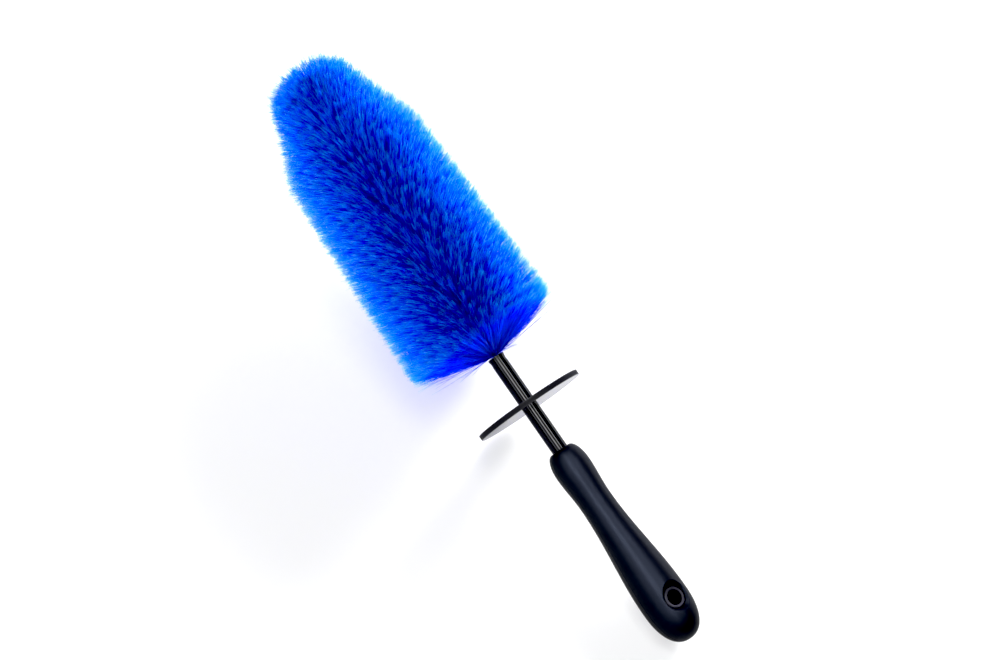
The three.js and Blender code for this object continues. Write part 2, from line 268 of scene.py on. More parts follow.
class Look:
    """A Principled material and short ways to add nodes to it."""

    def __init__(self, name, roughness, specular=0.5, metallic=0.0):
        self.material = bpy.data.materials.new(name)
        self.material.use_nodes = True
        self.tree = self.material.node_tree
        self.shader = self.tree.nodes["Principled BSDF"]
        self.shader.inputs["Roughness"].default_value = roughness
        self.shader.inputs["Specular IOR Level"].default_value = specular
        self.shader.inputs["Metallic"].default_value = metallic

    def node(self, kind, **settings):
        made = self.tree.nodes.new(kind)
        for key, value in settings.items():
            setattr(made, key, value)
        return made

    def link(self, source, target):
        self.tree.links.new(source, target)

    def coordinates(self, scale=(1, 1, 1)):
        place = self.node("ShaderNodeTexCoord")
        mapping = self.node("ShaderNodeMapping")
        mapping.inputs["Scale"].default_value = scale
        self.link(place.outputs["Object"], mapping.inputs["Vector"])
        return mapping.outputs["Vector"]

    def noise(self, scale, detail=3.0, stretch=(1, 1, 1)):
        made = self.node("ShaderNodeTexNoise")
        made.inputs["Scale"].default_value = scale
        made.inputs["Detail"].default_value = detail
        self.link(self.coordinates(stretch), made.inputs["Vector"])
        return made.outputs["Fac"]

    def ramp(self, source, stops):
        made = self.node("ShaderNodeValToRGB")
        elements = made.color_ramp.elements
        while len(elements) < len(stops):
            elements.new(0.5)
        for element, (place, colour) in zip(elements, stops):
            element.position = place
            element.color = (*colour, 1)
        self.link(source, made.inputs["Fac"])
        return made.outputs["Color"]

    def range(self, source, low, high):
        made = self.node("ShaderNodeMapRange")
        made.inputs["To Min"].default_value = low
        made.inputs["To Max"].default_value = high
        self.link(source, made.inputs["Value"])
        return made.outputs["Result"]

    def flatness(self, direction):
        """1 on faces square to the direction, and 0 on faces that run along it."""
        place = self.node("ShaderNodeTexCoord")
        along = self.node("ShaderNodeVectorMath", operation="DOT_PRODUCT")
        along.inputs[1].default_value = tuple(direction)
        self.link(place.outputs["Normal"], along.inputs[0])
        size = self.node("ShaderNodeMath", operation="ABSOLUTE")
        self.link(along.outputs["Value"], size.inputs[0])
        return size.outputs["Value"]

    def bump(self, sources, distance, strength=1.0):
        """Chains one bump for each height source."""
        normal = None
        for source in sources:
            made = self.node("ShaderNodeBump")
            made.inputs["Distance"].default_value = distance
            made.inputs["Strength"].default_value = strength
            self.link(source, made.inputs["Height"])
            if normal:
                self.link(normal, made.inputs["Normal"])
            normal = made.outputs["Normal"]
        self.link(normal, self.shader.inputs["Normal"])

    def colour(self, output):
        self.link(output, self.shader.inputs["Base Color"])

    def roughness(self, output):
        self.link(output, self.shader.inputs["Roughness"])


def soft_grip_look():
    look = Look("soft_grip", 0.4, specular=0.12)
    look.shader.inputs["Specular Tint"].default_value = (0.62, 0.72, 1.0, 1)
    mottle = look.noise(60, 4)
    look.colour(look.ramp(mottle, [(0.3, (0.0004, 0.0004, 0.0016)), (0.7, (0.0008, 0.0009, 0.0026))]))
    look.roughness(look.range(look.noise(35, 5, (0.4, 1, 1)), 0.40, 0.47))
    look.bump([look.noise(2600, 2)], 0.00004, 0.35)
    return look.material


def eyelet_look():
    """Paler ends, and a bore wall painted near black as painted shade inside the hole."""
    look = Look("eyelet", 0.5, specular=0.08)
    mottle = look.noise(300, 3)
    ends = look.ramp(mottle, [(0.3, (0.022, 0.022, 0.034)), (0.7, (0.032, 0.031, 0.046))])
    # Painted shade: the bore's wall gets a near-black colour for the shade inside the hole, not a colour of
    # its own.
    bore = look.ramp(mottle, [(0.3, (0.0008, 0.0008, 0.0016)), (0.7, (0.0016, 0.0016, 0.0026))])
    blend = look.node("ShaderNodeMix", data_type="RGBA")
    look.link(look.flatness(brush.crest), blend.inputs["Factor"])
    look.link(bore, blend.inputs["A"])
    look.link(ends, blend.inputs["B"])
    look.colour(blend.outputs["Result"])
    look.roughness(look.range(look.noise(500, 3), 0.42, 0.58))
    look.bump([look.noise(1800, 2)], 0.00003, 0.3)
    return look.material


def sleeve_look():
    look = Look("stem_sleeve", 0.07, specular=0.12)
    mottle = look.noise(90, 2)
    look.colour(look.ramp(mottle, [(0.3, (0.0008, 0.0008, 0.0022)), (0.7, (0.002, 0.002, 0.0042))]))
    look.roughness(look.range(look.noise(160, 4, (0.15, 1, 1)), 0.02, 0.035))
    look.bump([look.noise(30, 1, (0.35, 1, 1))], 0.00001, 0.01)
    return look.material


def guard_look():
    """Glossy flat faces and a dull cut rim."""
    look = Look("splash_guard", 0.2)
    mottle = look.noise(80, 4)
    look.colour(look.ramp(mottle, [(0.3, (0.0020, 0.0020, 0.0034)), (0.7, (0.0040, 0.0040, 0.0062))]))
    flat = look.flatness(brush.axis)
    look.roughness(look.range(flat, 0.55, 0.12))
    look.link(look.range(flat, 0.03, 0.5), look.shader.inputs["Specular IOR Level"])
    look.bump([look.noise(1500, 2)], 0.00002, 0.1)
    return look.material


def plain_plastic_look(name, dark, light):
    look = Look(name, 0.55)
    look.colour(look.ramp(look.noise(120, 3), [(0.3, dark), (0.7, light)]))
    look.roughness(look.range(look.noise(200, 3), 0.45, 0.62))
    look.bump([look.noise(900, 2)], 0.00004, 0.4)
    return look.material


def wire_look():
    look = Look("core_wire", 0.3, metallic=1.0)
    look.colour(look.ramp(look.noise(240, 3), [(0.3, (0.30, 0.31, 0.33)), (0.7, (0.52, 0.53, 0.55))]))
    look.roughness(look.range(look.noise(400, 3, (0.2, 1, 1)), 0.22, 0.42))
    look.bump([look.noise(1400, 2, (0.1, 1, 1))], 0.00002, 0.4)
    return look.material


# Painted shade: the front colours darken towards the roots, and a little at the very tips, and the through
# colours darken towards the roots, so that the crowded core and ends seen end-on read dark.
FRONT_STOPS = [
    (0.00, (0.000, 0.010, 0.450)),
    (0.30, (0.000, 0.035, 0.700)),
    (0.60, (0.000, 0.045, 0.850)),
    (0.80, (0.000, 0.020, 0.900)),
    (0.90, (0.000, 0.010, 0.880)),
    (1.00, (0.000, 0.025, 0.740)),
]
THROUGH_STOPS = [
    (0.00, (0.000, 0.060, 0.750)),
    (0.30, (0.000, 0.090, 0.900)),
    (0.60, (0.000, 0.070, 0.960)),
    (0.80, (0.000, 0.120, 0.940)),
    (0.90, (0.010, 0.680, 0.760)),
    (1.00, (0.360, 1.000, 0.560)),
]
THROUGH_SHARE = 0.36
COLUMN_SHIFT = 0.05  # how much earlier or later the colours may come in a column
ROOT_CONTRAST, TIP_CONTRAST, CONTRAST_FALLS_FROM = 0.45, 0.1, 0.5


def filament_look():
    """Colour runs from root to tip along v, with painted shade: darker towards the roots, and a little at
    the very tips, so that the crowded core and ends seen end-on read dark. Each column along u has its own
    brightness, which varies more towards the roots than at the tips, and shifts the colours a little along
    the filament. At the tips, light that comes through a filament is paler and greener than light that it
    turns back."""
    look = Look("filament", 0.34, specular=0.12)
    look.shader.inputs["Specular Tint"].default_value = (0.1, 0.45, 1.0, 1)
    uv = look.node("ShaderNodeUVMap", uv_map="OFBake")
    parts = look.node("ShaderNodeSeparateXYZ")
    look.link(uv.outputs["UV"], parts.inputs["Vector"])
    column = look.node("ShaderNodeMath", operation="MULTIPLY")
    column.inputs[1].default_value = COLOUR_COLUMNS
    look.link(parts.outputs["X"], column.inputs[0])
    whole = look.node("ShaderNodeMath", operation="FLOOR")
    look.link(column.outputs["Value"], whole.inputs[0])
    chance = look.node("ShaderNodeTexWhiteNoise", noise_dimensions="1D")
    look.link(whole.outputs["Value"], chance.inputs["W"])
    shift = look.range(chance.outputs["Value"], -COLUMN_SHIFT, COLUMN_SHIFT)
    along = look.node("ShaderNodeMath", operation="ADD")
    look.link(parts.outputs["Y"], along.inputs[0])
    look.link(shift, along.inputs[1])
    tint = look.node("ShaderNodeHueSaturation")
    look.link(look.ramp(along.outputs["Value"], FRONT_STOPS), tint.inputs["Color"])
    spread = look.node("ShaderNodeMapRange")
    spread.inputs["From Min"].default_value = CONTRAST_FALLS_FROM
    spread.inputs["To Min"].default_value = ROOT_CONTRAST
    spread.inputs["To Max"].default_value = TIP_CONTRAST
    look.link(parts.outputs["Y"], spread.inputs["Value"])
    strength = look.node("ShaderNodeMath", operation="MULTIPLY_ADD")
    strength.inputs[2].default_value = 1.0
    look.link(look.range(chance.outputs["Value"], -1.0, 1.0), strength.inputs[0])
    look.link(spread.outputs["Result"], strength.inputs[1])
    look.link(strength.outputs["Value"], tint.inputs["Value"])
    look.colour(tint.outputs["Color"])
    look.roughness(look.range(chance.outputs["Value"], 0.28, 0.45))
    through = look.node("ShaderNodeBsdfTranslucent")
    look.link(look.ramp(along.outputs["Value"], THROUGH_STOPS), through.inputs["Color"])
    mix = look.node("ShaderNodeMixShader")
    mix.inputs["Fac"].default_value = THROUGH_SHARE
    output = look.tree.nodes["Material Output"]
    look.link(look.shader.outputs["BSDF"], mix.inputs[1])
    look.link(through.outputs["BSDF"], mix.inputs[2])
    look.link(mix.outputs["Shader"], output.inputs["Surface"])
    return look.material


def floor_look():
    """A floor that glows by one amount to the camera, one to matt surfaces and one to glossy ones."""
    look = Look("floor", 0.7, specular=0.2)
    look.colour(look.ramp(look.noise(1.5, 2), [(0.3, (0.25, 0.25, 0.25)), (0.7, (0.27, 0.27, 0.27))]))
    look.bump([look.noise(200, 2)], 0.0002, 0.05)
    look.shader.inputs["Emission Color"].default_value = (0.98, 0.985, 1.0, 1)
    ray = look.node("ShaderNodeLightPath")
    matt = look.node("ShaderNodeMix", data_type="FLOAT")
    matt.inputs["A"].default_value = GLOW_MATT
    matt.inputs["B"].default_value = GLOW_GLOSS
    look.link(ray.outputs["Is Glossy Ray"], matt.inputs["Factor"])
    seen = look.node("ShaderNodeMix", data_type="FLOAT")
    seen.inputs["B"].default_value = GLOW_SEEN
    look.link(matt.outputs["Result"], seen.inputs["A"])
    look.link(ray.outputs["Is Camera Ray"], seen.inputs["Factor"])
    look.link(seen.outputs["Result"], look.shader.inputs["Emission Strength"])
    return look.material


# ---------------------------------------------------------------- handle

def eased(low, high, share):
    return low + (high - low) * (0.5 - 0.5 * np.cos(math.pi * share))


def handle_radius(stations):
    """Outer radius of the handle: a full butt, a waist and a rounded front shoulder."""
    s = np.asarray(stations, float)
    reach = np.clip((BUTT_STATION - s) / BUTT_STATION, 0, 1)
    butt = BUTT_RADIUS * np.clip(1 - reach ** BUTT_FULLNESS, 0, 1) ** (1 / BUTT_FULLNESS)
    body = eased(BUTT_RADIUS, WAIST_RADIUS, (s - BUTT_STATION) / (WAIST_STATION - BUTT_STATION))
    collar = eased(WAIST_RADIUS, COLLAR_RADIUS, (s - WAIST_STATION) / (COLLAR_STATION - WAIST_STATION))
    reach = np.clip((s - COLLAR_STATION) / (HANDLE_LENGTH - COLLAR_STATION), 0, 1)
    shoulder = MOUTH_RADIUS + (COLLAR_RADIUS - MOUTH_RADIUS) * np.sqrt(1 - reach ** 2)
    stretches = [s <= BUTT_STATION, s <= WAIST_STATION, s <= COLLAR_STATION]
    return np.select(stretches, [butt, body, collar], shoulder)


def core_radius(stations):
    """Outer radius of the hard core inside the grip."""
    s = np.asarray(stations, float)
    wall = GRIP_WALL + GAP
    reach = np.clip((BUTT_STATION - s) / (BUTT_STATION - CORE_START), 0, 1)
    butt = (BUTT_RADIUS - wall) * np.clip(1 - reach ** BUTT_FULLNESS, 0, 1) ** (1 / BUTT_FULLNESS)
    return np.where(s < BUTT_STATION, butt, handle_radius(s) - wall)


def smooth_lower(a, b, rounding):
    """The lower of two heights, rounded where they meet."""
    h = np.clip(0.5 + 0.5 * (b - a) / rounding, 0, 1)
    return b + (a - b) * h - rounding * h * (1 - h)


def handle_stations():
    """Stations of the handle's rings, closer together round the butt, the hole and the shoulder."""
    butt = BUTT_STATION * (1 - np.cos(np.linspace(0.03, 0.9, 22)))
    hole = np.arange(butt[-1] + HOLE_STEP, HOLE_END, HOLE_STEP)
    body = np.arange(HOLE_END + 1, COLLAR_STATION, BODY_STEP)
    shoulder_turn = np.linspace(0, math.pi / 2, 26)
    shoulder = COLLAR_STATION + (HANDLE_LENGTH - COLLAR_STATION) * np.sin(shoulder_turn)
    return np.concatenate([butt, hole, body, shoulder])


def handle_angles():
    """Angles round the handle, closer together at the hole's mouths and at the parting line."""
    quarter = math.pi / 2
    even = np.radians(np.arange(0, 360, 3.0))
    mouths = [centre + np.radians(np.arange(-45, 45, 1.2)) for centre in (quarter, 3 * quarter)]
    ridge = PARTING_RIDGE_WIDTH / BUTT_RADIUS * np.array([-2, -1.3, -0.8, -0.4, 0, 0.4, 0.8, 1.3, 2])
    lines = [centre + ridge for centre in (0, 2 * quarter)]
    angles = np.sort(np.mod(np.concatenate([even, *mouths, *lines]), 2 * math.pi))
    keep = np.concatenate([[True], np.diff(angles) > math.radians(0.35)])
    return angles[keep]


def handle_skin():
    """The grip's outside as one closed skin, with the parting ridges and the recesses round the hole."""
    stations, angles = handle_stations(), handle_angles()
    radius = handle_radius(stations)[:, None] * np.ones(len(angles))
    around = np.abs((angles + math.pi / 2) % math.pi - math.pi / 2) * radius
    fade = np.clip((HANDLE_LENGTH - stations) / PARTING_RIDGE_FADE, 0, 1)[:, None]
    radius = radius + fade * PARTING_RIDGE_HEIGHT * np.exp(-(around / PARTING_RIDGE_WIDTH) ** 2)
    x = stations[:, None] * np.ones(len(angles))
    y, z = radius * np.cos(angles), radius * np.sin(angles)
    out = np.hypot(x - HANG_STATION, y)
    recess = BUTT_RADIUS - (RECESS_RIM_RADIUS - out) / RECESS_SLOPE
    recess = np.maximum(recess, RECESS_FLOOR)
    mouth = (out < 2 * RECESS_RIM_RADIUS) & (np.abs(z) > MOUTH_LEAST_HEIGHT)
    z = np.where(mouth, np.sign(z) * smooth_lower(np.abs(z), recess, RECESS_ROUNDING), z)
    verts = np.column_stack([x.ravel(), y.ravel(), z.ravel()])
    verts = np.vstack([verts, [(0, 0, 0), (HANDLE_LENGTH, 0, 0)]])
    return verts, ring_faces(*x.shape, closed=False) + pole_faces(*x.shape)


def across_handle(profile, segments):
    """A solid of revolution about the hanging hole's axis, in the brush's space."""
    verts, faces = lathe_arrays(profile, segments, axis="z")
    return verts + np.array([HANG_STATION, 0, 0]), faces


def cylinder_across(name, radius):
    """A closed cylinder along the hanging hole, longer than the handle is wide."""
    reach = 2 * BUTT_RADIUS
    verts, faces = across_handle([(-reach, 0), (-reach, radius), (reach, radius), (reach, 0)], 96)
    made = make_object(name, brush.place(verts), faces, smooth_angle=None)
    face_outwards(made)
    return made


def pocket_cutter():
    """The room inside the grip for the core, open at the front for the stem. It leaves the grip's boss round
    the eyelet."""
    stations = np.concatenate([POCKET_BUTT_STATIONS, np.linspace(BUTT_STATION, CORE_END, 40)])
    radii = core_radius(stations) + GAP
    mouth = STEM_RADIUS + GAP
    profile = [(POCKET_START, 0), *zip(stations, radii)]
    profile += [(CORE_END + GAP, radii[-1]), (CORE_END + GAP, mouth)]
    profile += [(HANDLE_LENGTH + 5, mouth), (HANDLE_LENGTH + 5, 0)]
    pocket = lathe("pocket", profile, 96)
    cut(pocket, [cylinder_across("boss", BOSS_RADIUS)])
    return pocket


def grip_sleeve():
    verts, faces = handle_skin()
    grip = make_object("grip_skin", brush.place(verts), faces, smooth_angle=None)
    face_outwards(grip)
    cut(grip, [pocket_cutter(), cylinder_across("hole", EYELET_RADIUS + GAP)])
    grip.data.shade_smooth()
    grip.data.set_sharp_from_angle(angle=math.radians(50))
    return grip


def eyelet():
    """A ring with fully rounded ends, which stand a little above the floors of the recesses."""
    half, bead = EYELET_HALF_LENGTH, (EYELET_RADIUS - BORE_RADIUS) / 2
    middle = BORE_RADIUS + bead
    top = arc((half - bead, middle), bead, 90, -90, 14)
    bottom = arc((bead - half, middle), bead, 270, 90, 14)
    profile = top + bottom
    profile.append(profile[0])
    verts, faces = across_handle(profile, 96)
    made = make_object("hang_hole_ring", brush.place(verts), faces, 60)
    face_outwards(made)
    return made


# ---------------------------------------------------------------- stem and guard

def stem_sleeve():
    """A tube whose bristle end is necked in a little and rolled out."""
    necked = np.linspace(0, 1, 18)
    end = [
        (NECK_START + NECK_LENGTH * t, STEM_RADIUS - NECK_DEPTH * math.sin(math.pi * t) + NECK_FLARE * t ** 3)
        for t in necked
    ]
    rolled = arc((STEM_END - ROLL_RADIUS, STEM_RADIUS - ROLL_INSET), ROLL_RADIUS, 80, 0, 8)
    profile = [(STEM_START, STEM_BORE_RADIUS), (STEM_START, STEM_RADIUS)]
    profile += [(s, STEM_RADIUS) for s in np.linspace(STEM_START + 1, NECK_START - 1, 40)]
    profile += end + rolled
    profile += [(STEM_END, STEM_BORE_RADIUS), (STEM_START, STEM_BORE_RADIUS)]
    return lathe("stem_tube", profile, 96)


def splash_guard():
    """A flat rubber disc with a small round on both edges of its rim and a chamfer on those of its bore."""
    bore, half, small = STEM_RADIUS + GAP, GUARD_THICKNESS / 2, GUARD_RIM_ROUND
    outer, inner = GUARD_RADIUS - small, bore + GUARD_BORE_CHAMFER
    radii = np.linspace(inner, outer, 24)
    back = [(GUARD_STATION - half, r) for r in radii[:-1]]
    back_rim = arc((GUARD_STATION - half + small, outer), small, 180, 90, 6)
    front_rim = arc((GUARD_STATION + half - small, outer), small, 90, 0, 6)
    front = [(GUARD_STATION + half, r) for r in radii[-2::-1]]
    profile = back + back_rim + front_rim + front
    inset = half - GUARD_BORE_CHAMFER
    profile += [(GUARD_STATION + inset, bore), (GUARD_STATION - inset, bore), back[0]]
    return lathe("guard_disc", profile, 160)


# ---------------------------------------------------------------- bristles

def envelope_radius(station):
    """Outer radius of the bristle head, with a dome over the nose."""
    nose = np.clip((station - NOSE_STATION) / (BRUSH_TIP - NOSE_STATION), 0, 1)
    dome = NOSE_RADIUS * np.sqrt(1 - nose ** 2)
    return np.where(station > NOSE_STATION, dome, np.interp(station, ENVELOPE_STATIONS, ENVELOPE_RADII))


def gather_in_tufts(end, angle, radius):
    """Draws the ends of neighbouring bundles together, and lets the middle of each tuft stand a little
    prouder than its edge."""
    row = (end / TUFT_SIZE).astype(int)
    step = 2 * math.pi / TUFTS_AROUND
    turned = angle / step + TUFT_STAGGER * row
    column = np.floor(turned).astype(int)
    jitter = TUFT_JITTER[row % len(TUFT_JITTER), column % TUFTS_AROUND]
    along = (row + jitter[:, 0]) * TUFT_SIZE - end
    around = (column + jitter[:, 1] - turned) * step
    away = np.hypot(along, around * radius) / TUFT_SIZE
    return end + TUFT_PULL * along, angle + TUFT_PULL * around, radius + TUFT_RELIEF * (0.5 - away)


def turn_bundles(index, rng):
    """Roots and ends of one turn's bundles of filaments: stations, angles and radii."""
    centre = FIRST_ROOT + index * TURN_SPACING
    count = BUNDLES_PER_TURN
    order = np.arange(count)
    root = centre + ((order + rng.uniform(0, 1, count)) / count - 0.5) * TURN_SPACING
    root = np.maximum(root, STEM_END + BUNDLE_CLEARANCE + rng.uniform(0, BUNDLE_CLEARANCE_SCATTER, count))
    share = np.clip((root - FIRST_ROOT) / (LAST_ROOT - FIRST_ROOT), 0, 1)
    angle = order * GOLDEN_ANGLE + rng.normal(0, ANGLE_SCATTER, count)
    fan = np.clip(share / BASE_SHARE, 0, 1)
    fan = fan * fan * (3 - 2 * fan)
    lead = BASE_LEAD + LEAD_GROWTH * fan + LEAD_TO_TIP * share - LEAD_TO_SIDE * np.cos(angle) * fan
    if index == 0:
        lead += rng.uniform(*FIRST_TURN_LEAD, count)
    end = root + lead + rng.normal(0, END_SCATTER, count)
    radius = envelope_radius(end) + rng.normal(0, RADIUS_SCATTER + RADIUS_SCATTER_TO_TIP * share, count)
    end, angle, radius = gather_in_tufts(end, angle, radius)
    return root, angle, end, radius


def tip_bundles(rng):
    """Roots and ends of the tuft that fans over the end of the wires."""
    count = BUNDLES_IN_TIP
    root = rng.uniform(LAST_ROOT + TURN_SPACING / 2, WIRE_END, count)
    angle = rng.uniform(0, 2 * math.pi, count)
    spread = np.sqrt(rng.uniform(0, 1, count))
    end = NOSE_STATION + (BRUSH_TIP - NOSE_STATION) * np.sqrt(1 - spread ** 2)
    end += np.clip(rng.normal(0, TIP_SCATTER, count), *TIP_SCATTER_LIMITS)
    return root, angle, end, NOSE_RADIUS * spread


def ends_in_space(station, angle, radius):
    return np.column_stack([station, radius * np.cos(angle), radius * np.sin(angle)])


def filament_ends(bundles, rng):
    """Splits bundles into filaments: where each one starts and finishes, in the brush's space."""
    root, angle, end, radius = (np.repeat(values, FILAMENTS_PER_BUNDLE) for values in bundles)
    count = len(root)
    loose = rng.uniform(0, 1, count) < LOOSE_SHARE
    stray = rng.uniform(0, 1, count) < STRAY_SHARE
    root = root + rng.normal(0, ROOT_SCATTER, count)
    root = np.maximum(root, STEM_END + ROOT_CLEARANCE)
    start = ends_in_space(root, angle + rng.normal(0, ROOT_TURN, count), np.full(count, ROOT_RADIUS))
    finish = ends_in_space(end, angle, radius)
    spread = np.where(loose, LOOSE_SPREAD, BUNDLE_SPREAD) + STRAY_SPREAD * stray
    finish += rng.normal(0, 1, (count, 3)) * spread[:, None]
    out = np.hypot(finish[:, 1], finish[:, 2])
    allowed = np.maximum(radius, LEAST_REACH) + rng.normal(0, REACH_SCATTER, count)
    allowed = allowed + (stray + LOOSE_REACH_SHARE * loose) * rng.uniform(0, WISP_REACH, count)
    fit = np.minimum(1.0, (allowed + REACH_MARGIN) / np.maximum(out, 1e-6))
    finish[:, 1:] *= fit[:, None]
    return start, finish


def base_strays(rng):
    """A few hairs that stand back over the end of the sleeve, as far as the guard lets them."""
    count = BASE_STRAYS
    angle = rng.uniform(0, 2 * math.pi, count)
    roots = np.full(count, STRAY_ROOT_STATION)
    start = ends_in_space(roots, angle, np.full(count, STRAY_ROOT_RADIUS))
    end = rng.uniform(STRAY_START, STEM_END, count)
    turned = angle + rng.normal(0, STRAY_TURN, count)
    finish = ends_in_space(end, turned, rng.uniform(*STRAY_RADII, count))
    return start, finish


def centre_lines(start, finish, rng):
    """Points along each filament, as an array of filament, step and coordinate, in the row's frame."""
    count = len(start)
    reach = np.linalg.norm(finish - start, axis=1)
    middle = (start + finish) / 2
    middle[:, 0] -= FILAMENT_BOW * (finish[:, 0] - start[:, 0])
    middle += rng.normal(0, 1, (count, 3)) * (FILAMENT_WAVE * reach + LEAST_WAVE)[:, None]
    t = np.array(FILAMENT_STEPS)[None, :, None]
    line = start[:, None] * (1 - t) ** 2 + 2 * middle[:, None] * t * (1 - t) + finish[:, None] * t ** 2
    line = brush.place(line.reshape(-1, 3)).reshape(count, len(FILAMENT_STEPS), 3)
    return pressed_on_floor(line, rng)


def pressed_on_floor(line, rng):
    """Filaments that would pass through the floor bend along it and splay."""
    clearance = (FLOOR_CLEARANCE + rng.uniform(0, FLOOR_PILE, line.shape[0])) * MM
    depth = np.maximum(clearance[:, None] - line[:, :, 2], 0)
    line[:, :, 2] += depth
    line[:, :, 0] += SPLAY_ALONG * depth
    line[:, :, 1] += SPLAY_ACROSS * depth * np.sign(line[:, :, 1])
    return line


def filament_object(name, line, rng):
    """Thin tapered tubes along the lines, all in one mesh."""
    count, steps, _ = line.shape
    tangent = np.gradient(line, axis=1)
    tangent /= np.linalg.norm(tangent, axis=2, keepdims=True)
    helper = rng.normal(0, 1, (count, 1, 3))
    first = np.cross(tangent, helper)
    first /= np.linalg.norm(first, axis=2, keepdims=True)
    second = np.cross(tangent, first)
    taper = np.array(FILAMENT_TAPER)
    radius = FILAMENT_RADIUS * MM * taper[None, :, None] * rng.uniform(0.85, 1.15, (count, 1, 1))
    turns = np.arange(FILAMENT_SIDES) * 2 * math.pi / FILAMENT_SIDES
    rings = [line + radius * (first * math.cos(a) + second * math.sin(a)) for a in turns]
    verts = np.stack(rings, axis=2).reshape(-1, 3)

    base = np.arange(count)[:, None, None] * steps * FILAMENT_SIDES
    step = np.arange(steps - 1)[None, :, None] * FILAMENT_SIDES
    side = np.arange(FILAMENT_SIDES)[None, None, :]
    following = (side + 1) % FILAMENT_SIDES
    a, b = base + step + side, base + step + following
    quads = np.stack([a, b, b + FILAMENT_SIDES, a + FILAMENT_SIDES], axis=-1).reshape(-1, 4)
    flat_base = base[:, 0, 0]
    tip_base = flat_base + (steps - 1) * FILAMENT_SIDES
    roots = np.column_stack([flat_base + 2, flat_base + 1, flat_base])
    tips = np.column_stack([tip_base, tip_base + 1, tip_base + 2])

    column = rng.integers(0, COLOUR_COLUMNS, count)
    left = (column + COLUMN_EDGES[0]) / COLOUR_COLUMNS
    right = (column + COLUMN_EDGES[1]) / COLOUR_COLUMNS
    along = np.array(FILAMENT_STEPS) * 0.98 + 0.01
    quad_uv = np.zeros((count, steps - 1, FILAMENT_SIDES, 4, 2))
    quad_uv[..., 0, 0] = left[:, None, None]
    quad_uv[..., 3, 0] = left[:, None, None]
    quad_uv[..., 1, 0] = right[:, None, None]
    quad_uv[..., 2, 0] = right[:, None, None]
    quad_uv[..., 0, 1] = along[None, :-1, None]
    quad_uv[..., 1, 1] = along[None, :-1, None]
    quad_uv[..., 2, 1] = along[None, 1:, None]
    quad_uv[..., 3, 1] = along[None, 1:, None]
    cap_uv = np.zeros((2, count, 3, 2))
    cap_uv[..., 0, 0] = left
    cap_uv[..., 1, 0] = right
    cap_uv[..., 2, 0] = left
    cap_uv[0, :, :, 1] = along[0]
    cap_uv[1, :, :, 1] = along[-1]
    cap_uv[0, :, 2, 1] += CAP_SLANT
    cap_uv[1, :, 2, 1] -= CAP_SLANT

    mesh = bpy.data.meshes.new(name)
    loops = np.concatenate([quads.ravel(), roots.ravel(), tips.ravel()])
    sizes = np.concatenate([np.full(len(quads), 4), np.full(2 * count, 3)])
    starts = np.concatenate([[0], np.cumsum(sizes)[:-1]])
    mesh.vertices.add(len(verts))
    mesh.vertices.foreach_set("co", verts.astype(np.float32).ravel())
    mesh.loops.add(len(loops))
    mesh.loops.foreach_set("vertex_index", loops.astype(np.int32))
    mesh.polygons.add(len(sizes))
    mesh.polygons.foreach_set("loop_start", starts.astype(np.int32))
    mesh.update(calc_edges=True)
    layer = mesh.uv_layers.new(name="OFBake")
    uv = np.concatenate([quad_uv.reshape(-1, 2), cap_uv.reshape(-1, 2)])
    layer.data.foreach_set("uv", uv.astype(np.float32).ravel())
    mesh.shade_smooth()
    obj = bpy.data.objects.new(name, mesh)
    bpy.context.scene.collection.objects.link(obj)
    return obj


def add_bristles(material):
    """One piece for each turn of the wires, and one for the tuft over their end."""
    rng = np.random.default_rng(SEED)
    for index in range(TURN_COUNT + 1):
        last = index == TURN_COUNT
        node = "bristle_tip" if last else f"bristle_turn_{index + 1:02d}"
        bundles = tip_bundles(rng) if last else turn_bundles(index, rng)
        start, finish = filament_ends(bundles, rng)
        if index == 0:
            finish[:, 0] = np.maximum(finish[:, 0], STRAY_START)
            more = base_strays(rng)
            start, finish = np.vstack([start, more[0]]), np.vstack([finish, more[1]])
        tuft = filament_object(node.replace("bristle", "filament"), centre_lines(start, finish, rng), rng)
        dress(tuft, material, "brush", "filament", node)


# ---------------------------------------------------------------- assembly

def dress(obj, material, body, slot, *nodes):
    """Gives a new piece its material and its body, and hides the CAD nodes that it stands for. The slot is
    not used.
    """
    obj.data.materials.clear()
    obj.data.materials.append(material)
    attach(obj, body)
    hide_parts(*nodes)


def repaint(node, material):
    for slot in frame["nodes"][node].material_slots:
        slot.material = material


# ---------------------------------------------------------------- camera, light and floor

PICTURE_WIDTH = 665.0  # millimetres across the picture, at the guard
IMAGE_AXIS = Vector((-0.5707, 0.8218)).normalized()  # the brush's axis in the picture, right and up
GUARD_RIGHT, GUARD_BELOW = 17.955, 48.013  # the guard's place from the picture's middle, in millimetres
AIM_STATION = 189.5
CAMERA_DISTANCE = 1.8
CAMERA_LEAN = math.radians(5.0)  # towards the handle
CAMERA_ROLL = math.radians(32.0)  # round the brush, from its crest towards +Y
SENSOR_WIDTH = 36.0


def view_direction():
    """From the guard to the camera."""
    out = brush.crest * math.cos(CAMERA_ROLL) + brush.side * math.sin(CAMERA_ROLL)
    return (out * math.cos(CAMERA_LEAN) - brush.axis * math.sin(CAMERA_LEAN)).normalized()


def picture_axes(back):
    """Right and up of the picture in the row's frame, so that the brush lies along IMAGE_AXIS."""
    along = (brush.axis - brush.axis.dot(back) * back).normalized()
    across = (-back).cross(along)
    right = IMAGE_AXIS.x * along + IMAGE_AXIS.y * across
    up = IMAGE_AXIS.y * along - IMAGE_AXIS.x * across
    return right, up


